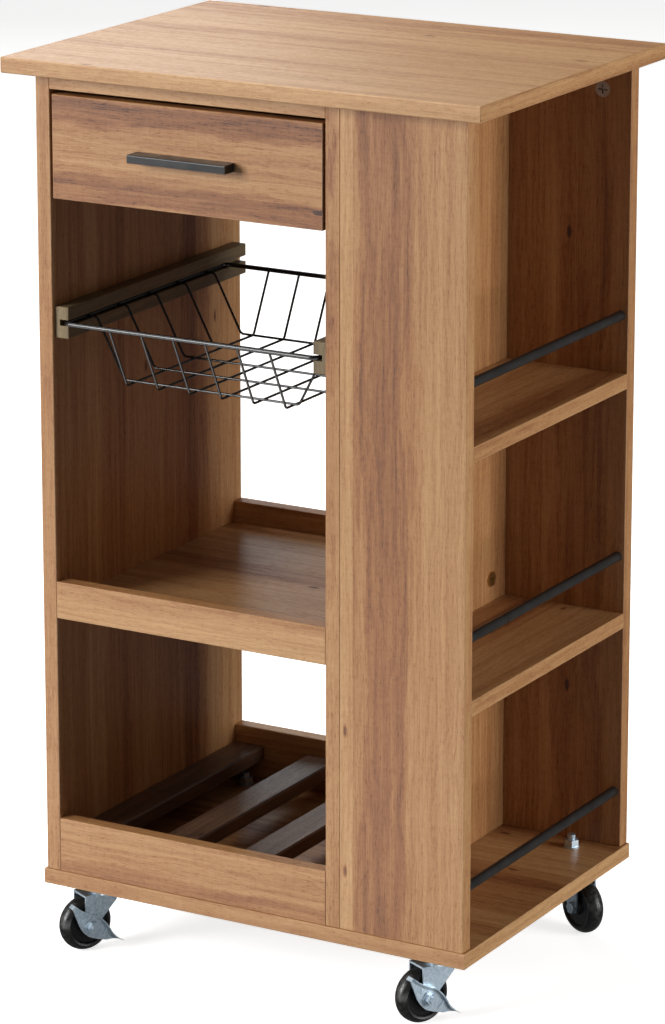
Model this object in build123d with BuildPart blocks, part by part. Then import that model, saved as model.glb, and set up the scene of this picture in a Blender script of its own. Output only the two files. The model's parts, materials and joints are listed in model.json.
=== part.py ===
from build123d import *
import os
from math import atan2, cos, degrees, radians, sin

# Kitchen trolley on four swivel casters, in millimetres.
# +Z is up, the drawer and the left bay face -Y, and +X points to the open side shelves.
# The origin is on the floor, under the middle of the worktop.

# ---------------------------------------------------------------- driving sizes
BOARD = 15.0                      # thickness of every laminated board
ARRIS = 0.6                       # eased edge on each board
TOP_WIDTH = 500.0
TOP_DEPTH = 370.0
TOP_FRONT_OVERHANG = 22.0
CARCASS_WIDTH = 452.0
CARCASS_DEPTH = 340.0
CARCASS_HEIGHT = 791.5            # underside of the base board to underside of the worktop
CASTER_HEIGHT = 66.0              # floor to underside of the base board
LEFT_BAY = 293.0                  # clear width between the left panel and the partition
BASE_SIDE_LIP = 3.0               # the base board stands out past the panels
BASE_FRONT_LIP = 1.5

SIDE_SHELF_PITCH = 237.5          # base board top to first shelf top to second shelf top
MIDDLE_SHELF_RISE = 268.0         # underside of the base board to underside of the middle shelf
MIDDLE_RAIL_HEIGHT = 36.0
BOTTOM_RAIL_HEIGHT = 53.0
TOP_FRONT_RAIL_DEPTH = 60.0
TOP_REAR_RAIL_HEIGHT = 100.0

SLAT_COUNT = 4
SLAT_WIDTH = 35.0
SLAT_DROP = 17.5                  # slat top below the bottom rails' top
SLAT_PEG_RADIUS = 3.0

BAR_RADIUS = 4.75                 # gallery bar
BAR_WALL = 1.0
BAR_RISE = 56.0                   # bar axis above its shelf
BAR_INSET = 8.0                   # bar axis in from the open side
BAR_SEAT = 8.0                    # how far each end goes into its panel

DRAWER_FRONT_HEIGHT = 98.0
DRAWER_TOP_GAP = 4.5
DRAWER_SIDE_GAP = 2.5
DRAWER_LENGTH = 280.0
DRAWER_SIDE = 12.0
DRAWER_SIDE_HEIGHT = 80.0
DRAWER_BOTTOM = 3.0
GUIDE_THICKNESS = 7.5             # strip on the panel, which the drawer side's groove rides on
GUIDE_HEIGHT = 12.0
GUIDE_PLAY = 0.3

HANDLE_LENGTH = 104.0
HANDLE_SPACING = 96.0
HANDLE_HEIGHT = 8.0
HANDLE_DEPTH = 17.0
HANDLE_WALL = 2.6

RUNNER_LENGTH = 322.0             # grooved wooden runner that holds the basket
RUNNER_THICKNESS = 15.0
RUNNER_HEIGHT = 30.0
RUNNER_SETBACK = 4.0
RUNNER_RISE = 540.5               # underside of the base board to underside of the runner
GROOVE_HEIGHT = 6.0
GROOVE_DEPTH = 9.5

RIM_RADIUS = 2.25                 # basket rim wire
WIRE_RADIUS = 1.15                # basket cross and long wires
RIM_HALF_WIDTH = 136.5
RIM_DEPTH = 291.0
RIM_SETBACK = 3.0
RIM_CORNER = 8.0
BASKET_DROP = 59.5                # rim centre to long wires' bottom centre
CROSS_COUNT = 5
CROSS_PITCH = 53.0
LONG_COUNT = 6
LONG_PITCH = 34.4
CROSS_TAB = 12.0                  # level stretch from the rim before the wire turns down
WALL_SLOPE = 30.0                 # how far each basket wall leans in on its way down
WIRE_BEND = 5.0

CASTER_EDGE_X = 41.5              # stem axis in from the carcass sides
CASTER_FRONT_Y = 32.5             # stem axis back from the carcass front
CASTER_REAR_Y = 37.5              # stem axis in from the carcass rear
WHEEL_RADIUS = 27.0
WHEEL_WIDTH = 18.0
HUB_WIDTH = 19.6
TRAIL = 20.0                      # wheel axle behind the swivel axis
AXLE_RADIUS = 3.0
STEM_RADIUS = 4.0
PIVOT_RADIUS = 5.0
RUNNING_CLEARANCE = 0.06
LEG_INNER = 10.2                  # fork leg's inner face from the middle of the wheel
LEVER_FLANGE = 3.4                # how far the brake lever's upper edge is turned out
LEG_BACK = 9.0                    # fork leg's rear edge behind the swivel axis
STEEL = 1.6                       # pressed steel of fork and lever
PLATE_Z = 55.5                    # underside of the fork's crown plate
FRONT_HEADING = -117.5            # direction of the wheel from its stem, seen from above, degrees
REAR_HEADING = -27.5

# ---------------------------------------------------------------- levels and faces worked out from them
LEFT = -CARCASS_WIDTH / 2
RIGHT = CARCASS_WIDTH / 2
TOP_FRONT = -TOP_DEPTH / 2
FRONT = TOP_FRONT + TOP_FRONT_OVERHANG
REAR = FRONT + CARCASS_DEPTH
BASE_BOTTOM = CASTER_HEIGHT
BASE_TOP = BASE_BOTTOM + BOARD
TOP_UNDERSIDE = BASE_BOTTOM + CARCASS_HEIGHT
BAY_LEFT = LEFT + BOARD
BAY_RIGHT = BAY_LEFT + LEFT_BAY
BAY_MIDDLE = (BAY_LEFT + BAY_RIGHT) / 2
SIDE_BAY = BAY_RIGHT + BOARD
FRONT_INNER = FRONT + BOARD
REAR_INNER = REAR - BOARD
MIDDLE_SHELF_BOTTOM = BASE_BOTTOM + MIDDLE_SHELF_RISE
MIDDLE_RAIL_TOP = MIDDLE_SHELF_BOTTOM + MIDDLE_RAIL_HEIGHT
BOTTOM_RAIL_TOP = BASE_TOP + BOTTOM_RAIL_HEIGHT
LOWER_SHELF_TOP = BASE_TOP + SIDE_SHELF_PITCH
UPPER_SHELF_TOP = LOWER_SHELF_TOP + SIDE_SHELF_PITCH
SLAT_TOP = BOTTOM_RAIL_TOP - SLAT_DROP
TOP_RAIL_BOTTOM = TOP_UNDERSIDE - BOARD
DRAWER_TOP = TOP_RAIL_BOTTOM - DRAWER_TOP_GAP
DRAWER_FRONT_BOTTOM = DRAWER_TOP - DRAWER_FRONT_HEIGHT
HALF_BOARD = BOARD / 2

os.makedirs("parts", exist_ok=True)


def keep(part, label):
    """Names one finished piece and writes it."""
    part.label = label
    export_step(part, f"parts/{label}.step")


def block(x, y, z):
    """A plain block between two values on each axis, for cutting recesses."""
    with BuildPart() as body:
        with BuildSketch(Plane.XY.offset(z[0])):
            with Locations(((x[0] + x[1]) / 2, (y[0] + y[1]) / 2)):
                Rectangle(x[1] - x[0], y[1] - y[0])
        extrude(amount=z[1] - z[0])
    return body.part


def board(label, x, y, z, cuts=(), arris=ARRIS):
    """A board between two values on each axis, with eased edges and its holes cut."""
    with BuildPart() as piece:
        with BuildSketch(Plane.XY.offset(z[0])):
            with Locations(((x[0] + x[1]) / 2, (y[0] + y[1]) / 2)):
                Rectangle(x[1] - x[0], y[1] - y[0])
        extrude(amount=z[1] - z[0])
        chamfer(piece.edges(), arris)
        for cut in cuts:
            add(cut, mode=Mode.SUBTRACT)
    keep(piece.part, label)


def rods(spans, radius):
    """Round rods, one for each pair of end points."""
    with BuildPart() as group:
        for start, end in spans:
            run = Vector(*end) - Vector(*start)
            with BuildSketch(Plane(origin=start, z_dir=run)):
                Circle(radius)
            extrude(amount=run.length)
    return group.part


def bent_wires(routes, radius, bend):
    """Wires of one radius, each bent along its own corner points."""
    with BuildPart() as group:
        for route in routes:
            with BuildLine() as path:
                FilletPolyline(*route, radius=bend)
            with BuildSketch(Plane(origin=path.line @ 0, z_dir=path.line % 0)):
                Circle(radius)
            sweep()
    return group.part


# ---------------------------------------------------------------- dowels, screws and cam fittings
DOWEL_RADIUS = 4.0
DOWEL_IN_FACE = 11.0              # depth in the face of a panel
DOWEL_IN_END = 13.0               # depth in the end of a rail or shelf
FRONT_ROW = FRONT + HALF_BOARD
REAR_ROW = REAR - HALF_BOARD
rail_dowel_rows = [
    (FRONT + 15, TOP_RAIL_BOTTOM + HALF_BOARD),
    (FRONT + 45, TOP_RAIL_BOTTOM + HALF_BOARD),
    (REAR_ROW, TOP_UNDERSIDE - 78),
    (REAR_ROW, TOP_UNDERSIDE - 22),
]
for row in (FRONT_ROW, REAR_ROW):
    rail_dowel_rows += [(row, MIDDLE_SHELF_BOTTOM + 9), (row, MIDDLE_RAIL_TOP - 9)]
    rail_dowel_rows += [(row, BASE_TOP + 13), (row, BOTTOM_RAIL_TOP - 13)]
dowel_spans = []
for row, level in rail_dowel_rows:
    dowel_spans.append(((BAY_LEFT - DOWEL_IN_FACE, row, level), (BAY_LEFT + DOWEL_IN_END, row, level)))
    dowel_spans.append(((BAY_RIGHT - DOWEL_IN_END, row, level), (BAY_RIGHT + DOWEL_IN_FACE, row, level)))
for shelf_top in (LOWER_SHELF_TOP, UPPER_SHELF_TOP):
    level = shelf_top - HALF_BOARD
    for across in (SIDE_BAY + 30, RIGHT - 30):
        dowel_spans.append(
            ((across, FRONT_INNER - DOWEL_IN_FACE, level), (across, FRONT_INNER + DOWEL_IN_END, level))
        )
        dowel_spans.append(
            ((across, REAR_INNER - DOWEL_IN_END, level), (across, REAR_INNER + DOWEL_IN_FACE, level))
        )
dowels = rods(dowel_spans, DOWEL_RADIUS)
keep(dowels, "wood_dowels")

# Cam fittings pull the worktop down onto the four upright boards.
CAM_RADIUS = 7.5
CAM_DEPTH = 12.0
CAM_DROP = 30.0
CAM_X = 195.5
BOLT_RADIUS = 3.0
BOLT_IN_TOP = 11.0
CAM_LEVEL = TOP_UNDERSIDE - CAM_DROP
cam_seats = [
    ((BAY_LEFT, -80, CAM_LEVEL), (-1, 0, 0)),
    ((BAY_LEFT, 100, CAM_LEVEL), (-1, 0, 0)),
    ((BAY_RIGHT, -80, CAM_LEVEL), (1, 0, 0)),
    ((BAY_RIGHT, 100, CAM_LEVEL), (1, 0, 0)),
    ((CAM_X, FRONT_INNER, CAM_LEVEL), (0, -1, 0)),
    ((CAM_X, REAR_INNER, CAM_LEVEL), (0, 1, 0)),
]
bolt_spans = []
for seat, inward in cam_seats:
    foot = Vector(*seat) + Vector(*inward) * HALF_BOARD
    bolt_spans.append(((foot.X, foot.Y, TOP_UNDERSIDE + BOLT_IN_TOP), (foot.X, foot.Y, CAM_LEVEL + 1)))
cam_bolts = rods(bolt_spans, BOLT_RADIUS)
keep(cam_bolts, "cam_bolts")
cam_spans = [(seat, Vector(*seat) + Vector(*inward) * CAM_DEPTH) for seat, inward in cam_seats]
cam_pockets = rods(cam_spans, CAM_RADIUS)
with BuildPart() as cam_locks:
    add(cam_pockets)
    for seat, inward in cam_seats:
        # A cross recess for the screwdriver, and a hollow for the bolt's end.
        with BuildSketch(Plane(origin=seat, z_dir=inward)):
            Rectangle(9, 1.6)
            Rectangle(1.6, 9)
        extrude(amount=2.4, mode=Mode.SUBTRACT)
    add(rods([(low, high) for high, low in bolt_spans], BOLT_RADIUS + 0.1), mode=Mode.SUBTRACT)
keep(cam_locks.part, "cam_locks")

# Countersunk screws from below hold the uprights to the base board.
SCREW_SHANK = 3.2
base_screw_points = [
    (LEFT + HALF_BOARD, FRONT + 60),
    (LEFT + HALF_BOARD, REAR - 60),
    (BAY_RIGHT + HALF_BOARD, FRONT + 60),
    (BAY_RIGHT + HALF_BOARD, REAR - 60),
    (SIDE_BAY + 65, FRONT_ROW),
    (SIDE_BAY + 65, REAR_ROW),
]
with BuildPart() as base_screws:
    for x, y in base_screw_points:
        with BuildSketch(Plane.XY.offset(BASE_BOTTOM)):
            with Locations((x, y)):
                Circle(5.0)
        extrude(amount=4.0)
        with BuildSketch(Plane.XY.offset(BASE_BOTTOM)):
            with Locations((x, y)):
                Circle(SCREW_SHANK)
        extrude(amount=50.0)
base_screw_blanks = base_screws.part
with BuildPart() as base_screws:
    add(base_screw_blanks)
    with BuildSketch(Plane.XY.offset(BASE_BOTTOM)):
        with Locations(*base_screw_points):
            RegularPolygon(2.0, 6)
    extrude(amount=2.5, mode=Mode.SUBTRACT)
keep(base_screws.part, "base_screws")

# Flat-headed connecting bolts carry the middle shelf; their round heads show on the panels.
SHELF_BOLT_LEVEL = MIDDLE_SHELF_BOTTOM + HALF_BOARD
with BuildPart() as shelf_bolts:
    for y in (FRONT + 44, REAR - 44):
        for face, outward in ((SIDE_BAY, 1), (LEFT, -1)):
            head = Plane(origin=(face, y, SHELF_BOLT_LEVEL), z_dir=(outward, 0, 0))
            with BuildSketch(head):
                Circle(7.5)
            extrude(amount=1.4)
            with BuildSketch(head):
                Circle(SCREW_SHANK)
            extrude(amount=-50.0)
            with BuildSketch(head.offset(1.4)):
                RegularPolygon(2.3, 6)
            extrude(amount=-1.0, mode=Mode.SUBTRACT)
keep(shelf_bolts.part, "shelf_bolts")

# ---------------------------------------------------------------- screws of basket runners and drawer guides
runner_front = FRONT + RUNNER_SETBACK
runner_bottom = BASE_BOTTOM + RUNNER_RISE
groove_bottom = runner_bottom + (RUNNER_HEIGHT - GROOVE_HEIGHT) / 2
groove_levels = (groove_bottom, groove_bottom + GROOVE_HEIGHT)
runner_depth = (runner_front, runner_front + RUNNER_LENGTH)
guide_middle = DRAWER_FRONT_BOTTOM + 8 + DRAWER_SIDE_HEIGHT / 2
guide_levels = (guide_middle - GUIDE_HEIGHT / 2, guide_middle + GUIDE_HEIGHT / 2)
guide_front = FRONT_INNER + 6
guide_depth = (guide_front, guide_front + 292)

screw_heads = []
with BuildPart() as wood_screws:
    for face, inward in ((BAY_LEFT, 1), (BAY_RIGHT, -1)):
        rows = [(RUNNER_THICKNESS - GROOVE_DEPTH, y, groove_bottom + GROOVE_HEIGHT / 2, 2.8)
                for y in (runner_front + 40, runner_front + 161, runner_front + 282)]
        rows += [(GUIDE_THICKNESS, y, guide_middle, 3.5) for y in (guide_front + 40, guide_front + 250)]
        for stand_off, y, level, head_radius in rows:
            head = Plane(origin=(face + inward * stand_off, y, level), z_dir=(-inward, 0, 0))
            with BuildSketch(head):
                Circle(head_radius)
            with BuildSketch(head.offset(head_radius - 1.2)):
                Circle(1.2)
            loft()
            with BuildSketch(head):
                Circle(1.2)
            extrude(amount=stand_off + 10)
            screw_heads.append(head)
wood_screw_blanks = wood_screws.part
with BuildPart() as wood_screws:
    add(wood_screw_blanks)
    for head in screw_heads:
        with BuildSketch(head):
            Rectangle(3.2, 0.8)
            Rectangle(0.8, 3.2)
        extrude(amount=0.9, mode=Mode.SUBTRACT)
keep(wood_screws.part, "wood_screws")

# ---------------------------------------------------------------- where the casters bolt on
stem_points = {
    "fl": (LEFT + CASTER_EDGE_X, FRONT + CASTER_FRONT_Y),
    "fr": (RIGHT - CASTER_EDGE_X, FRONT + CASTER_FRONT_Y),
    "rl": (LEFT + CASTER_EDGE_X, REAR - CASTER_REAR_Y),
    "rr": (RIGHT - CASTER_EDGE_X, REAR - CASTER_REAR_Y),
}
stem_spans = [((x, y, BASE_BOTTOM - 1), (x, y, BASE_TOP + 1)) for x, y in stem_points.values()]
stem_holes = rods(stem_spans, STEM_RADIUS + 0.2)

# ---------------------------------------------------------------- gallery bars
bar_axis_x = RIGHT - BAR_INSET
bar_levels = {
    "lower": BASE_TOP + BAR_RISE,
    "middle": LOWER_SHELF_TOP + BAR_RISE,
    "upper": UPPER_SHELF_TOP + BAR_RISE,
}
bar_spans = [
    ((bar_axis_x, FRONT_INNER - BAR_SEAT, level), (bar_axis_x, REAR_INNER + BAR_SEAT, level))
    for level in bar_levels.values()
]
bar_holes = rods(bar_spans, BAR_RADIUS + 0.1)
for name, span in zip(bar_levels, bar_spans):
    with BuildPart() as bar:
        add(rods([span], BAR_RADIUS))
        add(rods([span], BAR_RADIUS - BAR_WALL), mode=Mode.SUBTRACT)
    keep(bar.part, f"gallery_bar_{name}")

# ---------------------------------------------------------------- carcass boards
upright = (BASE_TOP, TOP_UNDERSIDE)
full_depth = (FRONT, REAR)
side_bay_span = (SIDE_BAY, RIGHT)
bay_span = (BAY_LEFT, BAY_RIGHT)
front_board = (FRONT, FRONT_INNER)
rear_board = (REAR_INNER, REAR)
fittings = (dowels, cam_pockets, cam_bolts, base_screw_blanks, shelf_bolts.part, wood_screw_blanks)

board("top_board", (-TOP_WIDTH / 2, TOP_WIDTH / 2), (TOP_FRONT, -TOP_FRONT),
      (TOP_UNDERSIDE, TOP_UNDERSIDE + BOARD), (cam_bolts,), arris=1.0)
board("base_board", (LEFT - BASE_SIDE_LIP, RIGHT + BASE_SIDE_LIP), (FRONT - BASE_FRONT_LIP, REAR),
      (BASE_BOTTOM, BASE_TOP), (base_screw_blanks, stem_holes))
board("left_side_panel", (LEFT, BAY_LEFT), full_depth, upright, fittings)
board("centre_partition", (BAY_RIGHT, SIDE_BAY), full_depth, upright, fittings)
board("front_right_panel", side_bay_span, front_board, upright, fittings + (bar_holes,))
board("rear_right_panel", side_bay_span, rear_board, upright, fittings + (bar_holes,))
top_rail_depth = (FRONT, FRONT + TOP_FRONT_RAIL_DEPTH)
board("top_front_rail", bay_span, top_rail_depth, (TOP_RAIL_BOTTOM, TOP_UNDERSIDE), (dowels,))
board("top_rear_rail", bay_span, rear_board, (TOP_UNDERSIDE - TOP_REAR_RAIL_HEIGHT, TOP_UNDERSIDE), (dowels,))
board("middle_shelf", bay_span, (FRONT_INNER, REAR_INNER),
      (MIDDLE_SHELF_BOTTOM, MIDDLE_SHELF_BOTTOM + BOARD), (shelf_bolts.part,))
board("middle_front_rail", bay_span, front_board, (MIDDLE_SHELF_BOTTOM, MIDDLE_RAIL_TOP), (dowels,))
board("middle_rear_rail", bay_span, rear_board, (MIDDLE_SHELF_BOTTOM, MIDDLE_RAIL_TOP), (dowels,))
shelf_depth = (FRONT_INNER, REAR_INNER)
board("side_shelf_upper", side_bay_span, shelf_depth, (UPPER_SHELF_TOP - BOARD, UPPER_SHELF_TOP), (dowels,))
board("side_shelf_lower", side_bay_span, shelf_depth, (LOWER_SHELF_TOP - BOARD, LOWER_SHELF_TOP), (dowels,))

# ---------------------------------------------------------------- bottle rack, pegged between the bottom rails
slat_pitch = (LEFT_BAY - SLAT_WIDTH) / (SLAT_COUNT - 1)
slat_middles = [BAY_LEFT + SLAT_WIDTH / 2 + slat_pitch * i for i in range(SLAT_COUNT)]
slat_level = SLAT_TOP - HALF_BOARD
slat_peg_spans = []
for x in slat_middles:
    slat_peg_spans.append(((x, FRONT_INNER - 9, slat_level), (x, FRONT_INNER + 12, slat_level)))
    slat_peg_spans.append(((x, REAR_INNER - 12, slat_level), (x, REAR_INNER + 9, slat_level)))
slat_pegs = rods(slat_peg_spans, SLAT_PEG_RADIUS)
keep(slat_pegs, "slat_pegs")
board("bottom_front_rail", bay_span, front_board, (BASE_TOP, BOTTOM_RAIL_TOP), (dowels, slat_pegs))
board("bottom_rear_rail", bay_span, rear_board, (BASE_TOP, BOTTOM_RAIL_TOP), (dowels, slat_pegs))
for i, x in enumerate(slat_middles, start=1):
    board(f"bottle_slat_{i}", (x - SLAT_WIDTH / 2, x + SLAT_WIDTH / 2), (FRONT_INNER, REAR_INNER),
          (SLAT_TOP - BOARD, SLAT_TOP), (slat_pegs,), arris=1.5)

# ---------------------------------------------------------------- basket runners and drawer guides
for side, face, inward in (("left", BAY_LEFT, 1), ("right", BAY_RIGHT, -1)):
    inner = face + inward * RUNNER_THICKNESS
    floor = inner - inward * GROOVE_DEPTH
    groove = block(sorted((floor, inner + inward)), (runner_depth[0] - 1, runner_depth[1] + 1), groove_levels)
    board(f"basket_runner_{side}", sorted((face, inner)), runner_depth,
          (runner_bottom, runner_bottom + RUNNER_HEIGHT), (groove, wood_screw_blanks))
    board(f"drawer_guide_{side}", sorted((face, face + inward * GUIDE_THICKNESS)), guide_depth,
          guide_levels, (wood_screw_blanks,), arris=0.4)

# ---------------------------------------------------------------- drawer
drawer_x = (BAY_LEFT + DRAWER_SIDE_GAP, BAY_RIGHT - DRAWER_SIDE_GAP)
box_levels = (DRAWER_FRONT_BOTTOM + 8, DRAWER_FRONT_BOTTOM + 8 + DRAWER_SIDE_HEIGHT)
box_depth = (FRONT_INNER, FRONT_INNER + DRAWER_LENGTH)
bottom_levels = (box_levels[0] + 8, box_levels[0] + 8 + DRAWER_BOTTOM)
bottom_seat = 5.0
inner_x = (drawer_x[0] + DRAWER_SIDE, drawer_x[1] - DRAWER_SIDE)
bottom_x = (inner_x[0] - bottom_seat, inner_x[1] + bottom_seat)
bottom_depth = (FRONT_INNER - bottom_seat, box_depth[1])
bottom_slot = block(bottom_x, (bottom_depth[0], bottom_depth[1] + 1), bottom_levels)

handle_middle = (DRAWER_FRONT_BOTTOM + DRAWER_TOP) / 2
handle_screw_spans = [
    ((BAY_MIDDLE + side * HANDLE_SPACING / 2, FRONT - 12, handle_middle),
     (BAY_MIDDLE + side * HANDLE_SPACING / 2, FRONT_INNER, handle_middle))
    for side in (-1, 1)
]
with BuildPart() as handle_screws:
    add(rods(handle_screw_spans, 2.0))
    for start, end in handle_screw_spans:
        with BuildSketch(Plane(origin=end, z_dir=(0, 1, 0))):
            Circle(4.0)
        extrude(amount=2.4)
keep(handle_screws.part, "handle_screws")
handle_bores = rods(handle_screw_spans, 2.0)

# The drawer box is joined with small dowels through its front, sides and back.
drawer_dowel_spans = []
for x in (drawer_x[0] + DRAWER_SIDE / 2, drawer_x[1] - DRAWER_SIDE / 2):
    for level in (box_levels[0] + 22, box_levels[1] - 14):
        drawer_dowel_spans.append(((x, FRONT_INNER - 9, level), (x, FRONT_INNER + 14, level)))
back_row = box_depth[1] - DRAWER_SIDE / 2
for level in (box_levels[0] + 22, box_levels[1] - 14):
    drawer_dowel_spans.append(((inner_x[0] - 8, back_row, level), (inner_x[0] + 12, back_row, level)))
    drawer_dowel_spans.append(((inner_x[1] - 12, back_row, level), (inner_x[1] + 8, back_row, level)))
drawer_dowels = rods(drawer_dowel_spans, 3.0)
keep(drawer_dowels, "drawer_dowels")

board("drawer_front", drawer_x, front_board, (DRAWER_FRONT_BOTTOM, DRAWER_TOP),
      (bottom_slot, handle_bores, drawer_dowels))
guide_slot_depth = (guide_front - 0.5, box_depth[1] + 1)
guide_slot_levels = (guide_levels[0] - GUIDE_PLAY, guide_levels[1] + GUIDE_PLAY)
slot_reach = BAY_LEFT + GUIDE_THICKNESS + 1.0
for side, outer, inner in (("left", drawer_x[0], inner_x[0]), ("right", drawer_x[1], inner_x[1])):
    floor = slot_reach if side == "left" else 2 * BAY_MIDDLE - slot_reach
    step = -1 if side == "left" else 1
    slot = block(sorted((outer + step, floor)), guide_slot_depth, guide_slot_levels)
    board(f"drawer_side_{side}", sorted((outer, inner)), box_depth, box_levels,
          (bottom_slot, slot, drawer_dowels), arris=0.5)
board("drawer_back", inner_x, (box_depth[1] - DRAWER_SIDE, box_depth[1]), (bottom_levels[1], box_levels[1]),
      (drawer_dowels,), arris=0.5)
board("drawer_bottom", bottom_x, bottom_depth, bottom_levels, (), arris=0.3)

# Bar handle: a closed top and front with two solid ends, hollow from below for the fingers.
with BuildPart() as drawer_handle:
    with BuildSketch(Plane.XY.offset(handle_middle - HANDLE_HEIGHT / 2)):
        with Locations((BAY_MIDDLE, FRONT - HANDLE_DEPTH / 2)):
            Rectangle(HANDLE_LENGTH, HANDLE_DEPTH)
    extrude(amount=HANDLE_HEIGHT)
    fillet(drawer_handle.edges().filter_by(Axis.X).group_by(Axis.Y)[0], 1.2)
    with BuildSketch(Plane.XY.offset(handle_middle - HANDLE_HEIGHT / 2)):
        with Locations((BAY_MIDDLE, FRONT - (HANDLE_DEPTH - HANDLE_WALL) / 2)):
            Rectangle(HANDLE_SPACING - 8, HANDLE_DEPTH - HANDLE_WALL)
    extrude(amount=HANDLE_HEIGHT - HANDLE_WALL, mode=Mode.SUBTRACT)
    add(handle_bores, mode=Mode.SUBTRACT)
keep(drawer_handle.part, "drawer_handle")

# ---------------------------------------------------------------- wire basket
rim_level = groove_bottom + RIM_RADIUS + 0.3
rim_front = FRONT + RIM_SETBACK
rim_rear = rim_front + RIM_DEPTH
rim_middle = (rim_front + rim_rear) / 2
with BuildPart() as basket_rim:
    with BuildLine() as rim_path:
        FilletPolyline(
            (BAY_MIDDLE + RIM_HALF_WIDTH, rim_front, rim_level),
            (BAY_MIDDLE + RIM_HALF_WIDTH, rim_rear, rim_level),
            (BAY_MIDDLE - RIM_HALF_WIDTH, rim_rear, rim_level),
            (BAY_MIDDLE - RIM_HALF_WIDTH, rim_front, rim_level),
            radius=RIM_CORNER,
            close=True,
        )
    with BuildSketch(Plane(origin=rim_path.line @ 0, z_dir=rim_path.line % 0)):
        Circle(RIM_RADIUS)
    sweep()
keep(basket_rim.part, "basket_rim")

cross_bottom = rim_level - BASKET_DROP + 2 * WIRE_RADIUS
long_bottom = rim_level - BASKET_DROP
wall_top = RIM_HALF_WIDTH - CROSS_TAB
wall_foot = wall_top - WALL_SLOPE
cross_rows = [rim_middle + CROSS_PITCH * (i - (CROSS_COUNT - 1) / 2) for i in range(CROSS_COUNT)]
cross_routes = [
    [
        (BAY_MIDDLE - RIM_HALF_WIDTH, y, rim_level),
        (BAY_MIDDLE - wall_top, y, rim_level),
        (BAY_MIDDLE - wall_foot, y, cross_bottom),
        (BAY_MIDDLE + wall_foot, y, cross_bottom),
        (BAY_MIDDLE + wall_top, y, rim_level),
        (BAY_MIDDLE + RIM_HALF_WIDTH, y, rim_level),
    ]
    for y in cross_rows
]
with BuildPart() as basket_cross_wires:
    add(bent_wires(cross_routes, WIRE_RADIUS, WIRE_BEND))
    add(basket_rim.part, mode=Mode.SUBTRACT)
keep(basket_cross_wires.part, "basket_cross_wires")
long_rows = [BAY_MIDDLE + LONG_PITCH * (i - (LONG_COUNT - 1) / 2) for i in range(LONG_COUNT)]
long_routes = [
    [
        (x, rim_front, rim_level),
        (x, rim_front + WALL_SLOPE, long_bottom),
        (x, rim_rear - WALL_SLOPE, long_bottom),
        (x, rim_rear, rim_level),
    ]
    for x in long_rows
]
with BuildPart() as basket_long_wires:
    add(bent_wires(long_routes, WIRE_RADIUS, WIRE_BEND))
    add(basket_rim.part, mode=Mode.SUBTRACT)
keep(basket_long_wires.part, "basket_long_wires")

# ---------------------------------------------------------------- casters
FLANGE_RADIUS = 12.0              # stem's shoulder under the base board
FLANGE_THICKNESS = 3.5
STEM_PROUD = 13.0                 # stem above the base board
NUT_THICKNESS = 6.5
WASHER_THICKNESS = 1.6
AXLE_HEX_RADIUS = 5.8
LEVER_GAP = 0.4                   # between fork leg, lever and axle nut
leg_outer = LEG_INNER + STEEL
lever_inner = leg_outer + LEVER_GAP
flange_bottom = BASE_BOTTOM - FLANGE_THICKNESS

with BuildPart() as caster_stems:
    for x, y in stem_points.values():
        for low, high, radius in (
            (PLATE_Z - 2.3, PLATE_Z - 0.4, PIVOT_RADIUS + 2),
            (PLATE_Z - 0.4, flange_bottom, PIVOT_RADIUS),
            (flange_bottom, BASE_BOTTOM, FLANGE_RADIUS),
            (BASE_BOTTOM, BASE_TOP + STEM_PROUD, STEM_RADIUS),
        ):
            with BuildSketch(Plane.XY.offset(low)):
                with Locations((x, y)):
                    Circle(radius)
            extrude(amount=high - low)
keep(caster_stems.part, "caster_stems")

with BuildPart() as caster_nuts:
    for x, y in stem_points.values():
        for low, height, shape in (
            (BASE_TOP, WASHER_THICKNESS, "washer"),
            (BASE_TOP + WASHER_THICKNESS, NUT_THICKNESS, "nut"),
        ):
            with BuildSketch(Plane.XY.offset(low)):
                with Locations((x, y)):
                    if shape == "washer":
                        Circle(8.0)
                    else:
                        RegularPolygon(7.5, 6)
                    Circle(STEM_RADIUS + 0.1, mode=Mode.SUBTRACT)
            extrude(amount=height)
keep(caster_nuts.part, "caster_nuts")


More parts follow.
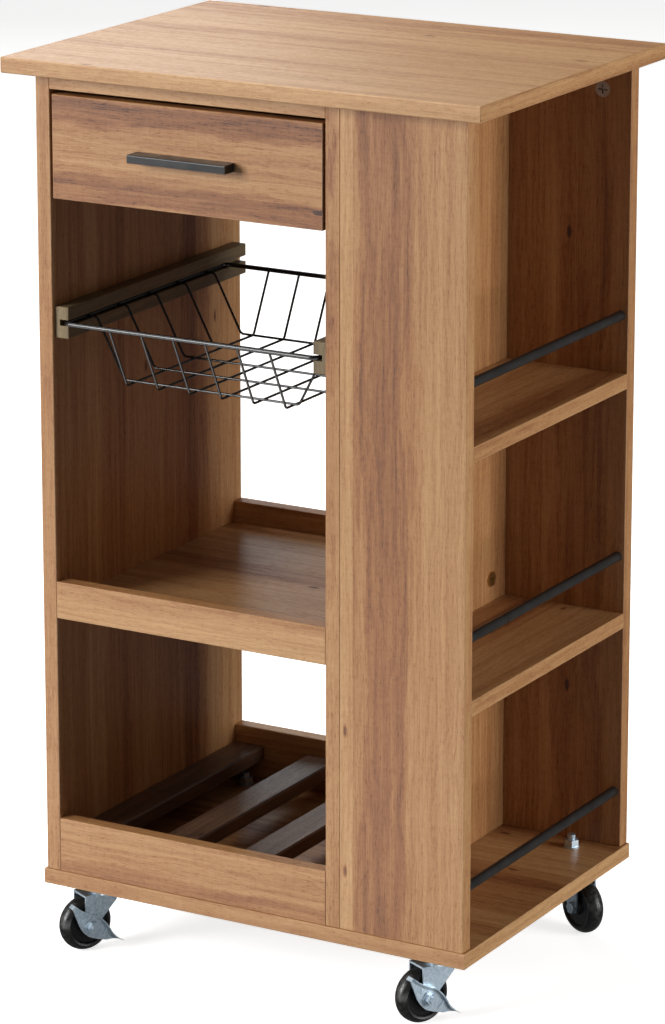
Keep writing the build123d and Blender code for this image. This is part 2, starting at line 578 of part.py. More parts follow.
def make_fork(local):
    """Pressed steel fork: a round crown plate with a ball race, and two tapered legs to the axle."""
    with BuildPart() as fork:
        with BuildSketch(local.offset(PLATE_Z)):
            Circle(15.0)
            with Locations(((TRAIL + 5.5 - LEG_BACK) / 2, 0)):
                Rectangle(TRAIL + 5.5 + LEG_BACK, 2 * leg_outer)
            Circle(PIVOT_RADIUS + RUNNING_CLEARANCE, mode=Mode.SUBTRACT)
        extrude(amount=2.0)
        with BuildSketch(local.offset(PLATE_Z + 2)):
            Circle(14.0)
            Circle(PIVOT_RADIUS + 1.5, mode=Mode.SUBTRACT)
        extrude(amount=flange_bottom - 0.8 - PLATE_Z - 2)
        for side in (-1, 1):
            face = Plane(
                origin=local.from_local_coords(Vector(0, side * LEG_INNER, 0)),
                x_dir=local.x_dir,
                z_dir=local.y_dir * side,
            )
            # The leg plane's own y axis points up on one side and down on the other.
            up = 1 if face.y_dir.Z > 0 else -1
            with BuildSketch(face):
                with BuildLine():
                    Polyline(
                        (TRAIL + 5.5, up * WHEEL_RADIUS),
                        (TRAIL + 5.5, up * (PLATE_Z + 2)),
                        (-LEG_BACK, up * (PLATE_Z + 2)),
                        (-LEG_BACK, up * (PLATE_Z - 7)),
                        (TRAIL - 6.0, up * (WHEEL_RADIUS - 2)),
                        (TRAIL - 4.5, up * (WHEEL_RADIUS - 5)),
                        (TRAIL, up * (WHEEL_RADIUS - 6.5)),
                        (TRAIL + 4.2, up * (WHEEL_RADIUS - 4.5)),
                        close=True,
                    )
                make_face()
                with Locations((TRAIL, up * WHEEL_RADIUS)):
                    Circle(AXLE_RADIUS + 0.05, mode=Mode.SUBTRACT)
            extrude(amount=STEEL)
    return fork.part


def make_wheel(local):
    """Moulded wheel with a rounded tread and a dished face, bored for the axle."""
    half = WHEEL_WIDTH / 2
    hub = HUB_WIDTH / 2
    shoulder = WHEEL_RADIUS - 5.5
    crown = WHEEL_RADIUS - 1.3
    spin = Plane(
        origin=local.from_local_coords(Vector(TRAIL, 0, WHEEL_RADIUS)),
        x_dir=(0, 0, 1),
        z_dir=local.x_dir,
    )
    bore = AXLE_RADIUS + RUNNING_CLEARANCE
    with BuildPart() as wheel:
        with BuildSketch(spin):
            with BuildLine():
                Polyline(
                    (bore, -hub),
                    (bore, hub),
                    (7.5, hub),
                    (8.5, half - 2.2),
                    (shoulder - 3.5, half - 2.2),
                    (shoulder - 2, half - 0.4),
                    (shoulder, half),
                )
                ThreePointArc((shoulder, half), (crown, half - 4.0), (WHEEL_RADIUS, 0))
                ThreePointArc((WHEEL_RADIUS, 0), (crown, 4.0 - half), (shoulder, -half))
                Polyline(
                    (shoulder, -half),
                    (shoulder - 2, 0.4 - half),
                    (shoulder - 3.5, 2.2 - half),
                    (8.5, 2.2 - half),
                    (7.5, -hub),
                    (bore, -hub),
                )
            make_face()
        revolve(axis=Axis(origin=spin.origin, direction=local.y_dir))
    return wheel.part


def make_axle(local, braked):
    """Axle bolt with a hexagon head, and its nut on the outer side."""
    nut_low = lever_inner + STEEL + LEVER_GAP if braked else leg_outer
    centre = local.from_local_coords(Vector(TRAIL, 0, WHEEL_RADIUS))
    across = Plane(origin=centre, x_dir=local.x_dir, z_dir=local.y_dir)
    with BuildPart() as axle:
        with BuildSketch(across.offset(-leg_outer - 4.0)):
            RegularPolygon(AXLE_HEX_RADIUS, 6)
        extrude(amount=4.0)
        with BuildSketch(across.offset(-leg_outer)):
            Circle(AXLE_RADIUS)
        extrude(amount=leg_outer + nut_low + 6.5)
        with BuildSketch(across.offset(nut_low)):
            Circle(7.2)
        extrude(amount=0.8)
        with BuildSketch(across.offset(nut_low + 0.8)):
            RegularPolygon(AXLE_HEX_RADIUS, 6)
        extrude(amount=4.4)
    return axle.part


def arc_chain(points):
    """Arcs joined end to end, each through three of the points in turn."""
    for start, middle, end in zip(points[0::2], points[1::2], points[2::2]):
        ThreePointArc(start, middle, end)


def make_lever(local):
    """Leaf-shaped brake lever: pointed ends, a turned-out upper edge that runs on as the foot blade,
    a brake shoe bent in over the tread, a pressed rib and a small boss."""
    # Drawn flat about the axle, with the trail to the right, up to the top, and the wheel above the page.
    nose = (17.6, 23.3)
    chin = (20.6, 20.7)
    tip = (-34.0, -21.0)
    upper_edge = [nose, (5.7, 14.7), (-5.5, 10.3), (-14.0, 2.0), (-20.5, -8.5), (-26.6, -15.4), tip]
    lower_edge = [tip, (-26.0, -17.9), (-16.3, -17.2), (-7.0, -14.6), (3.4, -10.4), (10.8, -2.6), (15.2, 6.9)]
    inner_edge = [(16.5, 21.4), (5.2, 13.1), (-5.6, 8.8), (-13.2, 1.0), (-19.5, -9.3), (-24.8, -15.5),
                  (-29.5, -18.6)]
    shoe = (18.57, 21.39)
    with BuildPart() as lever:
        with BuildSketch(Plane.XY):
            with BuildLine():
                arc_chain(upper_edge)
                arc_chain(lower_edge)
                Polyline(lower_edge[-1], chin, nose)
            make_face()
            Circle(AXLE_RADIUS + RUNNING_CLEARANCE, mode=Mode.SUBTRACT)
        extrude(amount=-STEEL)
        # Turned-out upper edge and foot blade.
        with BuildSketch(Plane.XY.offset(-STEEL)):
            with BuildLine():
                arc_chain(upper_edge)
                arc_chain(inner_edge)
                Line(inner_edge[0], nose)
                Line(inner_edge[-1], tip)
            make_face()
        extrude(amount=-LEVER_FLANGE)
        # Pressed rib across the tail, and a boss towards the nose.
        with BuildSketch(Plane.XY.offset(-STEEL)):
            with Locations(Location((-13.4, -8.6, 0), (0, 0, 137.0))):
                SlotOverall(9.5, 2.2)
            with Locations((8.0, 8.0)):
                Circle(2.2)
        extrude(amount=-0.7)
        # Brake shoe, bent in over the tread.
        with BuildSketch(Plane.XY):
            with Locations(Location((*shoe, 0), (0, 0, degrees(atan2(shoe[1], shoe[0]))))):
                Rectangle(STEEL, 4.0)
        extrude(amount=6.5)
    centre = local.from_local_coords(Vector(TRAIL, lever_inner, WHEEL_RADIUS))
    upright = Plane(origin=centre, x_dir=local.x_dir, z_dir=-local.y_dir)
    return lever.part.moved(upright.location)


for name, (x, y) in stem_points.items():
    front_caster = name.startswith("f")
    heading = radians(FRONT_HEADING if front_caster else REAR_HEADING)
    local = Plane(origin=(x, y, 0), x_dir=(cos(heading), sin(heading), 0), z_dir=(0, 0, 1))
    keep(make_fork(local), f"caster_{name}_fork")
    keep(make_wheel(local), f"caster_{name}_wheel")
    keep(make_axle(local, front_caster), f"caster_{name}_axle")
    if front_caster:
        keep(make_lever(local), f"caster_{name}_brake_lever")
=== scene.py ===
import json
import math

import bpy
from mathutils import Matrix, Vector


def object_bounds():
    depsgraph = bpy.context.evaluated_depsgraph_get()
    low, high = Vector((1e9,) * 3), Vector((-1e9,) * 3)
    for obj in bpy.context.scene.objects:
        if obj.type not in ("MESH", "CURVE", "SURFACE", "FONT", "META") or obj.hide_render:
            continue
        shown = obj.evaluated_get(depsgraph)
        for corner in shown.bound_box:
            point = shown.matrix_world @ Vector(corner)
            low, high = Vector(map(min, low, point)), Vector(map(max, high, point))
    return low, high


# Kitchen trolley on four swivel casters: the look of its finishes, in metres, around the fixed frame.

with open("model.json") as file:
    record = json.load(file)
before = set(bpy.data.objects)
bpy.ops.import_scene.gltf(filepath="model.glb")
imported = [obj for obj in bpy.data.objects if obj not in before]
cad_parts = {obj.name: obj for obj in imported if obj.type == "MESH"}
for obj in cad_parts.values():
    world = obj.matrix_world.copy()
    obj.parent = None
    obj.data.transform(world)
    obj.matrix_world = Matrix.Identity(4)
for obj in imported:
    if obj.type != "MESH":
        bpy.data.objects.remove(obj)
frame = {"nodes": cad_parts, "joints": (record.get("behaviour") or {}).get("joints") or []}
cad_low, cad_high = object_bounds()
nodes = frame["nodes"]

MM_PER_M = 1000.0
PLANK_MM = 62.0                   # mean width of the planks in the oak print
SHEET_SHIFT_MM = (613.0, 171.0, 37.0)   # from one board's place on the printed sheet to the next
RING_MM = 6.5                     # growth ring spacing in it
RING_SKEW = 0.05                  # how fast the growth rings climb along the board, which draws arches
ARCH_MM = 380.0                   # length of the board over which they climb before they turn back
OAK = ((0.12, "#cfa270"), (0.34, "#ba8d5d"), (0.54, "#a77547"),
       (0.72, "#8f5b33"), (0.9, "#6f4224"), (1.0, "#43281b"))
WALNUT = ((0.1, "#80614a"), (0.4, "#5f4534"), (0.7, "#443025"), (1.0, "#261912"))


# ---------------------------------------------------------------- helpers
def linear(hex_colour):
    """A linear colour from an sRGB hex value such as #a98462."""
    channels = []
    for start in (1, 3, 5):
        value = int(hex_colour[start:start + 2], 16) / 255
        channels.append(value / 12.92 if value <= 0.04045 else ((value + 0.055) / 1.055) ** 2.4)
    return (*channels, 1.0)


def add(tree, kind, inputs=None, stops=None, **settings):
    """Adds one node. Settings are its own properties, inputs are values or the sockets that feed it,
    and stops are a colour ramp's places and colours."""
    node = tree.nodes.new(kind)
    for name, value in settings.items():
        setattr(node, name, value)
    if stops:
        elements = node.color_ramp.elements
        while len(elements) < len(stops):
            elements.new(0.5)
        for element, (place, colour) in zip(elements, stops):
            element.position = place
            element.color = linear(colour) if isinstance(colour, str) else (colour, colour, colour, 1.0)
    for name, value in (inputs or {}).items():
        if isinstance(value, bpy.types.NodeSocket):
            tree.links.new(value, node.inputs[name])
        else:
            node.inputs[name].default_value = value
    return node


def new_material(name):
    """An empty node material with its shader and output, named for the finish."""
    material = bpy.data.materials.new(name)
    material.use_nodes = True
    tree = material.node_tree
    tree.nodes.clear()
    shader = add(tree, "ShaderNodeBsdfPrincipled")
    add(tree, "ShaderNodeOutputMaterial", {"Surface": shader.outputs["BSDF"]})
    return material, tree, shader


def dress(node_name, material):
    """Gives a piece of the frame its finish."""
    mesh = nodes[node_name].data
    mesh.materials.clear()
    mesh.materials.append(material)


def place_in_mm(tree):
    """The point's own place on the piece, in millimetres, which stays put when the piece moves."""
    coordinates = add(tree, "ShaderNodeTexCoord")
    return add(tree, "ShaderNodeVectorMath", {0: coordinates.outputs["Object"], "Scale": MM_PER_M},
               operation="SCALE").outputs[0]


def painted_edge_highlight(tree, reach_mm):
    """1 along the outer corners, within reach, and 0 on the flats: where a paler colour is mixed in as a painted
    highlight of the light that rounded edges catch.
    """
    rounded = add(tree, "ShaderNodeBevel", {"Radius": reach_mm / MM_PER_M}, samples=4)
    flat = add(tree, "ShaderNodeNewGeometry")
    likeness = add(tree, "ShaderNodeVectorMath", {0: rounded.outputs[0], 1: flat.outputs["True Normal"]},
                   operation="DOT_PRODUCT")
    flat_on, turned = 0.995, 0.86
    return add(tree, "ShaderNodeMapRange", {"Value": likeness.outputs["Value"], "From Min": flat_on,
                                            "From Max": turned, "To Min": 0.0, "To Max": 1.0}).outputs[0]


# ---------------------------------------------------------------- wood and printed wood
def grain_place(tree, way, sheet):
    """Coordinates that follow the grain: X along it, Y across the face, Z through the board, in millimetres.
    On the sawn ends the edging tape has its own grain, along the edge. Each board starts elsewhere on its
    sheet."""
    along, across, through = way
    place = add(tree, "ShaderNodeSeparateXYZ", {0: place_in_mm(tree)})
    coordinates = add(tree, "ShaderNodeTexCoord")
    facing = add(tree, "ShaderNodeSeparateXYZ", {0: coordinates.outputs["Normal"]})
    towards = add(tree, "ShaderNodeMath", {0: facing.outputs[along]}, operation="ABSOLUTE")
    end = add(tree, "ShaderNodeMath", {0: towards.outputs[0], 1: 0.7}, operation="GREATER_THAN")
    face_point = add(tree, "ShaderNodeCombineXYZ", {"X": place.outputs[along], "Y": place.outputs[across],
                                                    "Z": place.outputs[through]})
    end_point = add(tree, "ShaderNodeCombineXYZ", {"X": place.outputs[across], "Y": place.outputs[through],
                                                   "Z": place.outputs[along]})
    point = add(tree, "ShaderNodeMix", {0: end.outputs[0], 4: face_point.outputs[0], 5: end_point.outputs[0]},
                data_type="VECTOR")
    shift = tuple(step * sheet for step in SHEET_SHIFT_MM)
    return add(tree, "ShaderNodeVectorMath", {0: point.outputs[1], 1: shift}, operation="ADD").outputs[0]


def stretched_noise(tree, point, along_mm, across_mm, detail=2.0, roughness=0.5, distortion=0.0):
    """Noise drawn out along the grain: one patch is about this long and this wide."""
    scaled = add(tree, "ShaderNodeVectorMath", {0: point, 1: (1 / along_mm, 1 / across_mm, 1 / across_mm)},
                 operation="MULTIPLY")
    return add(tree, "ShaderNodeTexNoise", {"Vector": scaled.outputs[0], "Scale": 1.0, "Detail": detail,
                                            "Roughness": roughness, "Distortion": distortion}).outputs["Fac"]


def weighed(tree, *terms):
    """The sum of values, each times its weight."""
    total = None
    for value, weight in terms:
        total = add(tree, "ShaderNodeMath", {0: value, 1: weight, 2: 0.0 if total is None else total},
                    operation="MULTIPLY_ADD").outputs[0]
    return total


def between(tree, value, low, high, to_low=0.0, to_high=1.0):
    """The value moved from one range to another, and held inside it."""
    return add(tree, "ShaderNodeMapRange", {"Value": value, "From Min": low, "From Max": high,
                                            "To Min": to_low, "To Max": to_high}).outputs[0]


def sawn_oak(tree, point, heart_mm, figure):
    """How dark flat-sawn oak is, from 0 to 1, with its fibres and open pores. A ragged band of dark
    heartwood repeats over the sheet, growth rings arch round it, planks step in tone, fibres and long streaks
    run along, faint saw ripples cross them, and a small knot lies here and there."""
    heart_at, heart_half, heart_pitch = heart_mm
    wander = stretched_noise(tree, point, 210, 60, detail=2)
    ripple = stretched_noise(tree, point, 34, 11, detail=4, roughness=0.6)
    place = add(tree, "ShaderNodeSeparateXYZ", {0: point})
    swayed = weighed(tree, (place.outputs["Y"], 1.0), (wander, 34.0), (ripple, 13.0))
    offset = add(tree, "ShaderNodeMath", {0: swayed, 1: heart_at + 23.5}, operation="SUBTRACT")
    from_heart = add(tree, "ShaderNodeMath", {0: offset.outputs[0], 1: heart_pitch / 2}, operation="PINGPONG")
    heart = between(tree, from_heart.outputs[0], heart_half + 4.5, heart_half - 3.5)
    # the growth rings run slightly askew to the face, which draws arches
    askew = add(tree, "ShaderNodeMath", {0: place.outputs["X"], 1: ARCH_MM}, operation="PINGPONG")
    rising = add(tree, "ShaderNodeMath", {0: askew.outputs[0], 1: RING_SKEW}, operation="MULTIPLY")
    across_rings = add(tree, "ShaderNodeCombineXYZ", {"X": from_heart.outputs[0], "Y": rising.outputs[0]})
    radius = add(tree, "ShaderNodeVectorMath", {0: across_rings.outputs[0]}, operation="LENGTH")
    # a knot pushes the rings outwards around it
    spots = add(tree, "ShaderNodeVectorMath", {0: point, 1: (1 / 260, 1 / 96, 1 / 500)}, operation="MULTIPLY")
    knot = add(tree, "ShaderNodeTexVoronoi", {"Vector": spots.outputs[0], "Scale": 1.0, "Randomness": 1.0},
               voronoi_dimensions="2D")
    chosen = add(tree, "ShaderNodeSeparateColor", {0: knot.outputs["Color"]})
    wanted = add(tree, "ShaderNodeMath", {0: chosen.outputs["Blue"], 1: 0.7}, operation="GREATER_THAN")
    swelling = between(tree, knot.outputs["Distance"], 0.09, 0.01)
    pushed = add(tree, "ShaderNodeMath", {0: swelling, 1: wanted.outputs[0]}, operation="MULTIPLY")
    core = between(tree, knot.outputs["Distance"], 0.03, 0.012)
    knotted = add(tree, "ShaderNodeMath", {0: core, 1: wanted.outputs[0]}, operation="MULTIPLY")
    flutter = stretched_noise(tree, point, 44, 5, detail=4, roughness=0.65)
    rings = weighed(tree, (radius.outputs["Value"], 1 / RING_MM), (flutter, 1.5), (pushed.outputs[0], 1.2))
    ring = add(tree, "ShaderNodeMath", {0: rings}, operation="FRACT")
    late = add(tree, "ShaderNodeValToRGB", {0: ring.outputs[0]},
               stops=((0.0, 0.5), (0.16, 0.1), (0.55, 0.3), (0.85, 0.85), (0.93, 1.0), (1.0, 0.5)))
    planks = add(tree, "ShaderNodeMath", {0: place.outputs["Y"], 1: 1 / PLANK_MM}, operation="MULTIPLY")
    plank = add(tree, "ShaderNodeTexVoronoi", {"W": planks.outputs[0], "Scale": 1.0, "Randomness": 0.7},
                voronoi_dimensions="1D")
    tone = add(tree, "ShaderNodeSeparateColor", {0: plank.outputs["Color"]})
    # fibres and pores are drawn about twice as coarse as real ones so that they show
    fibre = stretched_noise(tree, point, 46, 1.1, detail=4, roughness=0.62)
    streak = stretched_noise(tree, point, 260, 8, detail=3, distortion=0.3)
    pore = between(tree, stretched_noise(tree, point, 6.5, 0.8, detail=1), 0.56, 0.70)
    ripple_lines = add(tree, "ShaderNodeVectorMath", {0: point, 1: (1 / 1.7, 1 / 17, 1 / 17)},
                       operation="MULTIPLY")
    sawn = add(tree, "ShaderNodeTexNoise", {"Vector": ripple_lines.outputs[0], "Scale": 1.0, "Detail": 2.0})
    dark = weighed(tree, (heart, 0.19 * figure), (tone.outputs["Red"], 0.24 * figure),
                   (late.outputs[0], 0.12),
                   (between(tree, fibre, 0.3, 0.7), 0.18), (between(tree, streak, 0.3, 0.7), 0.22),
                   (pore, 0.16), (sawn.outputs["Fac"], 0.12), (knotted.outputs[0], 0.5))
    return dark, fibre, pore


def printed_oak_paper(name, way, sheet, heart_mm, figure=1.0, tones=OAK, edge_highlight_colour="#d6b183"):
    """Particle board under oak-printed melamine paper, pressed satin: the print gives heartwood, arches,
    plank joints and pores, the press leaves a faint open grain, and a paler colour along the eased corners is a
    painted highlight."""
    material, tree, shader = new_material(name)
    point = grain_place(tree, way, sheet)
    dark, fibre, pore = sawn_oak(tree, point, heart_mm, figure)
    stain = add(tree, "ShaderNodeValToRGB", {0: dark}, stops=tones)
    # a paler colour along the eased corners: a painted highlight
    share = weighed(tree, (painted_edge_highlight(tree, 0.9), 0.5))
    colour = add(tree, "ShaderNodeMix", {0: share, 6: stain.outputs[0], 7: linear(edge_highlight_colour)}, data_type="RGBA")
    tree.links.new(colour.outputs[2], shader.inputs["Base Color"])
    gloss = weighed(tree, (fibre, 0.16), (pore, 0.14), (dark, 0.12))
    roughness = add(tree, "ShaderNodeMath", {0: gloss, 1: 0.31}, operation="ADD")
    tree.links.new(roughness.outputs[0], shader.inputs["Roughness"])
    shader.inputs["IOR"].default_value = 1.5
    relief = weighed(tree, (fibre, 0.5), (pore, -1.0))
    bump = add(tree, "ShaderNodeBump", {"Height": relief, "Strength": 0.25, "Distance": 0.0002})
    tree.links.new(bump.outputs[0], shader.inputs["Normal"])
    return material


def stained_pine(name, way, sheet):
    """Planed pine strip in a thin brown-green stain: soft wide rings and dull, slightly furry faces."""
    material, tree, shader = new_material(name)
    point = grain_place(tree, way, sheet)
    dark, fibre, pore = sawn_oak(tree, point, (0.0, 14.0, 60.0), figure=0.6)
    stain = add(tree, "ShaderNodeValToRGB", {0: dark},
                stops=((0.1, "#8a7653"), (0.4, "#6f5d3f"), (0.7, "#54452e"), (1.0, "#3a2e1d")))
    # a paler colour along the corners: a painted highlight
    colour = add(tree, "ShaderNodeMix", {0: painted_edge_highlight(tree, 0.8), 6: stain.outputs[0], 7: linear("#917d5c")},
                 data_type="RGBA")
    tree.links.new(colour.outputs[2], shader.inputs["Base Color"])
    gloss = add(tree, "ShaderNodeMath", {0: fibre, 1: 0.25, 2: 0.45}, operation="MULTIPLY_ADD")
    tree.links.new(gloss.outputs[0], shader.inputs["Roughness"])
    bump = add(tree, "ShaderNodeBump", {"Height": weighed(tree, (fibre, 1.0), (pore, -0.6)), "Strength": 0.35,
                                        "Distance": 0.0003})
    tree.links.new(bump.outputs[0], shader.inputs["Normal"])
    return material


def planed_beech(name, way, sheet):
    """Bare planed beech: pale pink-brown with short fine flecks and almost no rings."""
    material, tree, shader = new_material(name)
    point = grain_place(tree, way, sheet)
    fibre = stretched_noise(tree, point, 60, 1.2, detail=4, roughness=0.6)
    cloud = stretched_noise(tree, point, 160, 14, detail=2)
    fleck = between(tree, stretched_noise(tree, point, 3.4, 0.6, detail=1), 0.6, 0.7)
    dark = weighed(tree, (between(tree, fibre, 0.3, 0.7), 0.35), (cloud, 0.35), (fleck, 0.35))
    tint = add(tree, "ShaderNodeValToRGB", {0: dark},
               stops=((0.0, "#e0bd94"), (0.4, "#cda679"), (0.75, "#b48a60"), (1.0, "#936a46")))
    tree.links.new(tint.outputs[0], shader.inputs["Base Color"])
    gloss = add(tree, "ShaderNodeMath", {0: fibre, 1: 0.25, 2: 0.5}, operation="MULTIPLY_ADD")
    tree.links.new(gloss.outputs[0], shader.inputs["Roughness"])
    bump = add(tree, "ShaderNodeBump", {"Height": fibre, "Strength": 0.3, "Distance": 0.0002})
    tree.links.new(bump.outputs[0], shader.inputs["Normal"])
    return material


def hardboard(name):
    """Pressed wood-fibre sheet: an even brown with pale and dark fibres lying every way."""
    material, tree, shader = new_material(name)
    place = place_in_mm(tree)
    felt = add(tree, "ShaderNodeTexNoise", {"Vector": place, "Scale": 0.55, "Detail": 6.0, "Roughness": 0.75,
                                            "Distortion": 2.4})
    cloud = add(tree, "ShaderNodeTexNoise", {"Vector": place, "Scale": 0.012, "Detail": 2.0})
    dark = weighed(tree, (felt.outputs["Fac"], 0.7), (cloud.outputs["Fac"], 0.3))
    tint = add(tree, "ShaderNodeValToRGB", {0: dark},
               stops=((0.3, "#b18c62"), (0.5, "#94714c"), (0.7, "#6d5035")))
    tree.links.new(tint.outputs[0], shader.inputs["Base Color"])
    gloss = between(tree, felt.outputs["Fac"], 0.3, 0.7, 0.5, 0.72)
    tree.links.new(gloss, shader.inputs["Roughness"])
    bump = add(tree, "ShaderNodeBump", {"Height": felt.outputs["Fac"], "Strength": 0.3, "Distance": 0.0002})
    tree.links.new(bump.outputs[0], shader.inputs["Normal"])
    return material


# ---------------------------------------------------------------- metal and plastic
def satin_black_enamel(name, tone="#1c1a19", cloudy="#2a2725"):
    """Steel tube under satin black stoving enamel: faint orange peel, a soft broad highlight and a painted
    highlight of lighter grey along the corners."""
    material, tree, shader = new_material(name)
    place = place_in_mm(tree)
    peel = add(tree, "ShaderNodeTexNoise", {"Vector": place, "Scale": 0.9, "Detail": 2.0})
    haze = add(tree, "ShaderNodeTexNoise", {"Vector": place, "Scale": 0.05, "Detail": 3.0, "Roughness": 0.6})
    tint = add(tree, "ShaderNodeValToRGB", {0: haze.outputs["Fac"]}, stops=((0.3, tone), (0.75, cloudy)))
    # lighter grey along the corners: a painted highlight
    colour = add(tree, "ShaderNodeMix", {0: painted_edge_highlight(tree, 0.4), 6: tint.outputs[0], 7: linear("#4a4542")},
                 data_type="RGBA")
    tree.links.new(colour.outputs[2], shader.inputs["Base Color"])
    tree.links.new(between(tree, haze.outputs["Fac"], 0.3, 0.75, 0.27, 0.40), shader.inputs["Roughness"])
    shader.inputs["IOR"].default_value = 1.5
    bump = add(tree, "ShaderNodeBump", {"Height": peel.outputs["Fac"], "Strength": 0.12, "Distance": 0.0003})
    tree.links.new(bump.outputs[0], shader.inputs["Normal"])
    return material


def dip_coated_wire(name):
    """Welded steel wire dipped in gloss black plastic: a deep shine that swells and thins along each wire."""
    material, tree, shader = new_material(name)
    place = place_in_mm(tree)
    swell = add(tree, "ShaderNodeTexNoise", {"Vector": place, "Scale": 0.16, "Detail": 2.0})
    dust = add(tree, "ShaderNodeTexNoise", {"Vector": place, "Scale": 0.7, "Detail": 4.0, "Roughness": 0.7})
    tint = add(tree, "ShaderNodeValToRGB", {0: dust.outputs["Fac"]}, stops=((0.35, "#0d0c0c"), (0.75, "#1d1b1a")))
    tree.links.new(tint.outputs[0], shader.inputs["Base Color"])
    tree.links.new(between(tree, dust.outputs["Fac"], 0.3, 0.75, 0.13, 0.30), shader.inputs["Roughness"])
    shader.inputs["IOR"].default_value = 1.5
    bump = add(tree, "ShaderNodeBump", {"Height": swell.outputs["Fac"], "Strength": 0.4, "Distance": 0.0006})
    tree.links.new(bump.outputs[0], shader.inputs["Normal"])
    return material


def zinc_plated_steel(name, tones=("#a9bccb", "#c6d6e2", "#e4eef5"), spangle_mm=2.0):
    """Pressed steel with bright blue-white zinc: overlapping crystals reflect in different shades,
    with drawing lines from the press and a painted highlight that lightens the corners."""
    material, tree, shader = new_material(name)
    place = place_in_mm(tree)
    crystals = add(tree, "ShaderNodeTexVoronoi", {"Vector": place, "Scale": 1 / spangle_mm,
                                                  "Randomness": 1.0})
    shade = add(tree, "ShaderNodeSeparateColor", {0: crystals.outputs["Color"]})
    cloud = add(tree, "ShaderNodeTexNoise", {"Vector": place, "Scale": 0.22, "Detail": 5.0,
                                             "Roughness": 0.65})
    mottle = weighed(tree, (shade.outputs["Red"], 0.3), (cloud.outputs["Fac"], 0.85))
    dark, middle, light = tones
    tint = add(tree, "ShaderNodeValToRGB", {0: mottle}, stops=((0.3, dark), (0.6, middle), (0.9, light)))
    # a paler colour along the corners: a painted highlight
    colour = add(tree, "ShaderNodeMix", {0: painted_edge_highlight(tree, 0.35), 6: tint.outputs[0], 7: linear("#dde3e6")},
                 data_type="RGBA")
    tree.links.new(colour.outputs[2], shader.inputs["Base Color"])
    shader.inputs["Metallic"].default_value = 1.0
    tree.links.new(between(tree, mottle, 0.3, 0.9, 0.5, 0.4), shader.inputs["Roughness"])
    scratch = add(tree, "ShaderNodeTexNoise", {"Vector": place, "Scale": 1.8, "Detail": 4.0,
                                               "Distortion": 1.2})
    relief = weighed(tree, (shade.outputs["Green"], 0.3), (scratch.outputs["Fac"], 0.7))
    bump = add(tree, "ShaderNodeBump", {"Height": relief, "Strength": 0.06, "Distance": 0.0001})
    tree.links.new(bump.outputs[0], shader.inputs["Normal"])
    return material


def die_cast_zinc(name):
    """Tumbled zinc casting: an even soft grey with fine pits."""
    material, tree, shader = new_material(name)
    place = place_in_mm(tree)
    pits = add(tree, "ShaderNodeTexNoise", {"Vector": place, "Scale": 1.6, "Detail": 5.0, "Roughness": 0.7})
    tint = add(tree, "ShaderNodeValToRGB", {0: pits.outputs["Fac"]},
               stops=((0.3, "#77787a"), (0.5, "#a2a3a4"), (0.75, "#bdbebe")))
    tree.links.new(tint.outputs[0], shader.inputs["Base Color"])
    shader.inputs["Metallic"].default_value = 1.0
    tree.links.new(between(tree, pits.outputs["Fac"], 0.3, 0.75, 0.55, 0.36), shader.inputs["Roughness"])
    bump = add(tree, "ShaderNodeBump", {"Height": pits.outputs["Fac"], "Strength": 0.3, "Distance": 0.0002})
    tree.links.new(bump.outputs[0], shader.inputs["Normal"])
    return material


def yellow_passivated_zinc(name):
    """Zinc plate with a yellow chromate rinse: brassy, with faint rose and green clouds in the film."""
    material, tree, shader = new_material(name)
    place = place_in_mm(tree)
    film = add(tree, "ShaderNodeTexNoise", {"Vector": place, "Scale": 0.35, "Detail": 3.0, "Distortion": 1.5})
    tint = add(tree, "ShaderNodeValToRGB", {0: film.outputs["Fac"]},
               stops=((0.3, "#a9a15c"), (0.45, "#cdb069"), (0.6, "#d8b275"), (0.75, "#c08f78")))
    tree.links.new(tint.outputs[0], shader.inputs["Base Color"])
    shader.inputs["Metallic"].default_value = 1.0
    tree.links.new(between(tree, film.outputs["Fac"], 0.3, 0.75, 0.24, 0.4), shader.inputs["Roughness"])
    grit = add(tree, "ShaderNodeTexNoise", {"Vector": place, "Scale": 2.2, "Detail": 3.0})
    bump = add(tree, "ShaderNodeBump", {"Height": grit.outputs["Fac"], "Strength": 0.15, "Distance": 0.0002})
    tree.links.new(bump.outputs[0], shader.inputs["Normal"])
    return material


